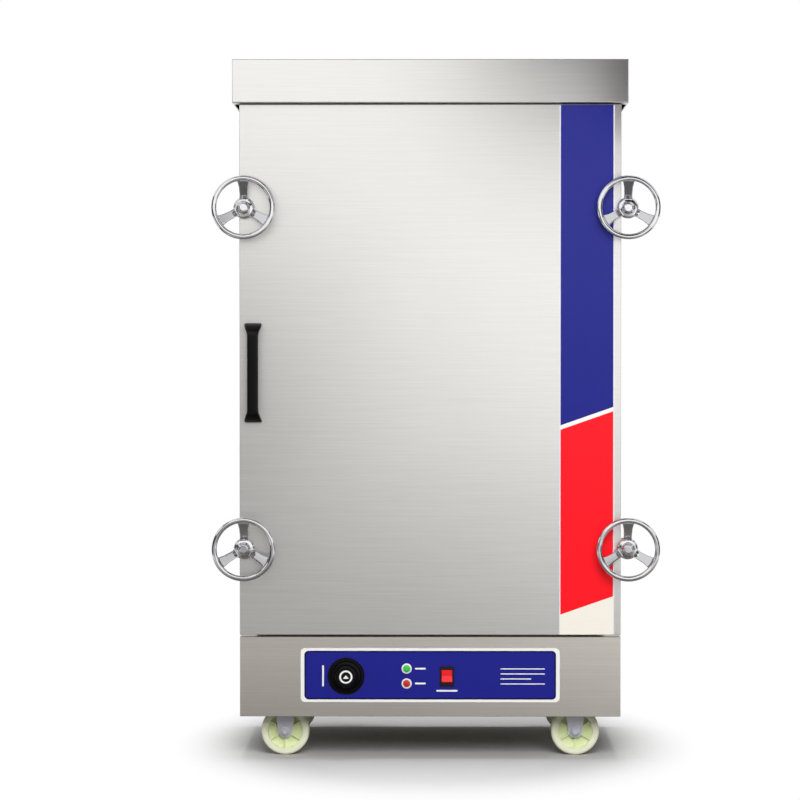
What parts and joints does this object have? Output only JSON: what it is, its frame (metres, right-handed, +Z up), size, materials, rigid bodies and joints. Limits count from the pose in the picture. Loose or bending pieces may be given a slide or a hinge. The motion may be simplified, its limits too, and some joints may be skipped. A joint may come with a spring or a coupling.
{
  "type": "commercial pressure steamer",
  "caption": "Stainless steam cabinet on swivel casters with one gasketed door, handwheel clamps, trays on runners, water tank and a control panel in its base.",
  "frame": {"origin": "on the floor, below the middle of the whole object's box", "axes": "+Z up; -Y is the front with the door; +X is to the right when facing the door, at the hinges"},
  "size_m": [0.843, 0.6477, 1.321],
  "materials": {
    "brushed_steel": "satin",
    "folded_steel": "satin",
    "polished_steel": "polished",
    "zinc_steel": "satin",
    "insulating_board": "matte",
    "gasket_rubber": "matte",
    "strip_film": "gloss",
    "control_film": "gloss",
    "black_plastic": "satin",
    "red_plastic": "gloss",
    "green_lens": "gloss",
    "red_lens": "gloss",
    "cream_nylon": "satin",
    "brass_fitting": "satin",
    "heater_tube": "matte"
  },
  "bodies": {
    "cabinet": {"hood": "brushed_steel", "outer_shell": "brushed_steel", "back_panel": "folded_steel", "chamber_liner": "folded_steel", "insulation": "insulating_board", "base_chassis": "brushed_steel", "base_panel": "brushed_steel", "control_plate": "control_film", "thermostat": "black_plastic", "lamp_green": "green_lens", "lamp_red": "red_lens", "rocker_frame": "black_plastic", "hinge_pins": "polished_steel", "wall_brackets": "folded_steel", "water_tank": "folded_steel", "steam_plate": "folded_steel", "heating_elements": "heater_tube", "rack_left": "folded_steel", "rack_right": "folded_steel", "drain_valve": "brass_fitting", "water_inlet": "brass_fitting", "steam_vent": "folded_steel", "cable_gland": "black_plastic", "caster_plates": "zinc_steel", "tray_1": "folded_steel", "tray_2": "folded_steel", "tray_3": "folded_steel", "tray_4": "folded_steel", "tray_5": "folded_steel", "tray_6": "folded_steel", "tray_7": "folded_steel", "tray_8": "folded_steel"},
    "door": {"door_skin": "brushed_steel", "door_pan": "folded_steel", "door_insulation": "insulating_board", "door_gasket": "gasket_rubber", "door_strip": "strip_film", "door_handle": "black_plastic", "latch_bushes": "polished_steel", "hinge_lugs": "folded_steel", "hinge_bolts": "polished_steel"},
    "knob": {"knob": "black_plastic"},
    "rocker": {"rocker": "red_plastic"},
    "drain_lever": {"drain_lever": "red_plastic"},
    "latch_upper": {"latch_shaft_upper": "polished_steel", "latch_wheel_upper": "polished_steel"},
    "hinge_nut_upper": {"hinge_washer_upper": "polished_steel"},
    "hinge_handwheel_upper": {"hinge_wheel_upper": "polished_steel"},
    "latch_lower": {"latch_shaft_lower": "polished_steel", "latch_wheel_lower": "polished_steel"},
    "hinge_nut_lower": {"hinge_washer_lower": "polished_steel"},
    "hinge_handwheel_lower": {"hinge_wheel_lower": "polished_steel"},
    "caster_front_left": {"caster_fork_front_left": "zinc_steel"},
    "wheel_front_left": {"caster_wheel_front_left": "cream_nylon"},
    "caster_front_right": {"caster_fork_front_right": "zinc_steel"},
    "wheel_front_right": {"caster_wheel_front_right": "cream_nylon"},
    "caster_rear_left": {"caster_fork_rear_left": "zinc_steel"},
    "wheel_rear_left": {"caster_wheel_rear_left": "cream_nylon"},
    "caster_rear_right": {"caster_fork_rear_right": "zinc_steel"},
    "wheel_rear_right": {"caster_wheel_rear_right": "cream_nylon"}
  },
  "joints": [
    {"name": "door_swing", "type": "hinge", "parent": "cabinet", "child": "door", "pos_m": [0.3615, -0.20615, 0.7365], "axis": [0, 0, 1], "range_deg": [0, 110]},
    {"name": "latch_turn_upper", "type": "hinge", "parent": "door", "child": "latch_upper", "pos_m": [-0.3615, -0.28475, 1.042], "axis": [0, 1, 0], "range_deg": [0, 90]},
    {"name": "hinge_travel_upper", "type": "slide", "parent": "door", "child": "hinge_nut_upper", "axis": [0, -1, 0], "range_m": [0, 0.0053]},
    {"name": "hinge_screw_upper", "type": "hinge", "parent": "hinge_nut_upper", "child": "hinge_handwheel_upper", "pos_m": [0.3615, -0.28475, 1.042], "axis": [0, -1, 0], "range_deg": [0, 1080]},
    {"name": "latch_turn_lower", "type": "hinge", "parent": "door", "child": "latch_lower", "pos_m": [-0.3615, -0.28475, 0.4], "axis": [0, 1, 0], "range_deg": [0, 90]},
    {"name": "hinge_travel_lower", "type": "slide", "parent": "door", "child": "hinge_nut_lower", "axis": [0, -1, 0], "range_m": [0, 0.0053]},
    {"name": "hinge_screw_lower", "type": "hinge", "parent": "hinge_nut_lower", "child": "hinge_handwheel_lower", "pos_m": [0.3615, -0.28475, 0.4], "axis": [0, -1, 0], "range_deg": [0, 1080]},
    {"name": "knob_turn", "type": "hinge", "parent": "cabinet", "child": "knob", "pos_m": [-0.1694, -0.27715, 0.1581], "axis": [0, 1, 0], "range_deg": [0, 270]},
    {"name": "rocker_tip", "type": "hinge", "parent": "cabinet", "child": "rocker", "pos_m": [0.0212, -0.27515, 0.157], "axis": [1, 0, 0], "range_deg": [0, 22]},
    {"name": "drain_lever_turn", "type": "hinge", "parent": "cabinet", "child": "drain_lever", "pos_m": [-0.1905, 0.28885, 0.3023], "axis": [0, 0, 1], "range_deg": [0, 90]},
    {"name": "swivel_front_left", "type": "hinge", "parent": "cabinet", "child": "caster_front_left", "pos_m": [-0.2655, -0.19415, 0.1077], "axis": [0, 0, 1], "continuous": true},
    {"name": "roll_front_left", "type": "hinge", "parent": "caster_front_left", "child": "wheel_front_left", "pos_m": [-0.2875, -0.19415, 0.046], "axis": [0, 1, 0], "continuous": true},
    {"name": "swivel_front_right", "type": "hinge", "parent": "cabinet", "child": "caster_front_right", "pos_m": [0.2445, -0.19415, 0.1077], "axis": [0, 0, 1], "continuous": true},
    {"name": "roll_front_right", "type": "hinge", "parent": "caster_front_right", "child": "wheel_front_right", "pos_m": [0.2665, -0.19415, 0.046], "axis": [0, 1, 0], "continuous": true},
    {"name": "swivel_rear_left", "type": "hinge", "parent": "cabinet", "child": "caster_rear_left", "pos_m": [-0.2655, 0.17185, 0.1077], "axis": [0, 0, 1], "continuous": true},
    {"name": "roll_rear_left", "type": "hinge", "parent": "caster_rear_left", "child": "wheel_rear_left", "pos_m": [-0.2875, 0.17185, 0.046], "axis": [0, 1, 0], "continuous": true},
    {"name": "swivel_rear_right", "type": "hinge", "parent": "cabinet", "child": "caster_rear_right", "pos_m": [0.2445, 0.17185, 0.1077], "axis": [0, 0, 1], "continuous": true},
    {"name": "roll_rear_right", "type": "hinge", "parent": "caster_rear_right", "child": "wheel_rear_right", "pos_m": [0.2665, 0.17185, 0.046], "axis": [0, 1, 0], "continuous": true}
  ],
  "couplings": [
    {"joint": "hinge_travel_upper", "follows": "hinge_screw_upper", "m_per_rad": 0.00027852},
    {"joint": "hinge_travel_lower", "follows": "hinge_screw_lower", "m_per_rad": 0.00027852}
  ]
}
